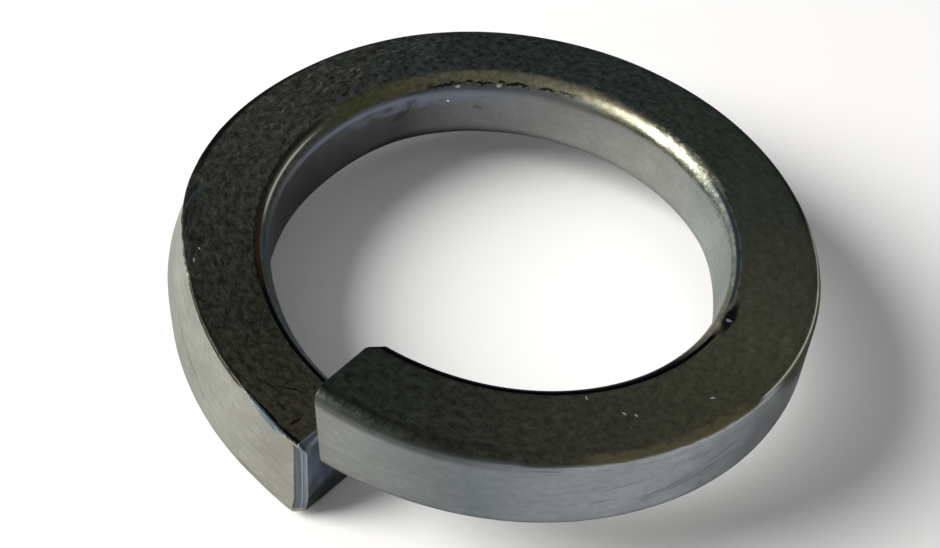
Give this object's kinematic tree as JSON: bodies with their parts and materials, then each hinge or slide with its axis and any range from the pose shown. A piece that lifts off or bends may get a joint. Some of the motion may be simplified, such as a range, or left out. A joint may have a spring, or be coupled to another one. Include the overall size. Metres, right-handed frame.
{
  "type": "spring lock washer",
  "caption": "Split spring lock washer: one left-hand turn of nearly square steel wire with slanted cut ends sprung apart along the bore.",
  "frame": {"origin": "on the bore axis, level with the lowest edge of the ring", "axes": "+Z along the bore axis; the cut is at -Y, with the lower end on its -X side and the upper end on its +X side"},
  "size_m": [0.0358, 0.0358, 0.0105],
  "materials": {
    "steel": "satin"
  },
  "bodies": {
    "root": {"washer": "steel"}
  },
  "joints": []
}
